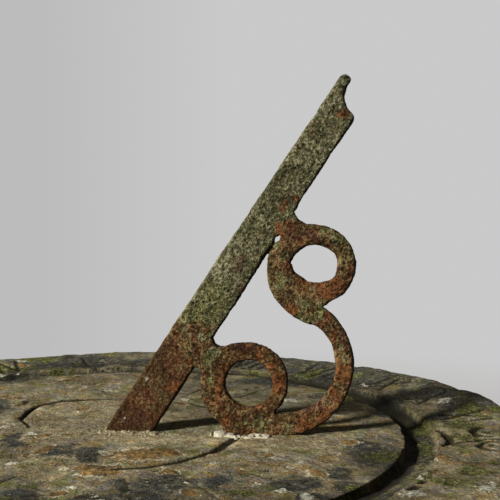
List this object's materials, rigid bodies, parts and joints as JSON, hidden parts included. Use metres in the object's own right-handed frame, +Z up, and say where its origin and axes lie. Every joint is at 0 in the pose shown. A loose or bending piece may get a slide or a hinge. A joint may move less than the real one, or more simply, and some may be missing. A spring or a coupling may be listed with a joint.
{
  "type": "stone sundial",
  "caption": "Horizontal garden sundial: a round carved stone slab with incised hour lines and numerals, and an upright iron gnomon with a scrolled support leaded into it.",
  "frame": {"origin": "centre of the stone's flat underside, on the axis of its turned circles", "axes": "+Z up, square to the dial face; +X towards the noon mark, along the gnomon; +Y towards the morning side seen from the gnomon's toe"},
  "size_m": [0.45, 0.45, 0.2474],
  "materials": {
    "stone": "weathered sandstone with lichen and algae",
    "patinated_iron": "pitted, with grey-green patina and rust at the foot",
    "rusted_iron": "pitted red-brown rust",
    "hidden_iron": "scaled, hidden in the stone",
    "lead": "dull run lead, hidden in the stone",
    "tan_mortar": "crumbly sandy mortar",
    "white_mortar": "smooth lime mortar"
  },
  "bodies": {
    "root": {"dial_slab": "stone", "gnomon_style": "patinated_iron", "gnomon_scroll": "rusted_iron", "lower_weld": "rusted_iron", "upper_weld": "rusted_iron", "scroll_pin_inner": "hidden_iron", "scroll_pin_outer": "hidden_iron", "style_lead": "lead", "scroll_lead_inner": "lead", "scroll_lead_outer": "lead", "style_mortar": "tan_mortar", "scroll_mortar_inner": "white_mortar", "scroll_mortar_outer": "white_mortar"}
  },
  "joints": []
}
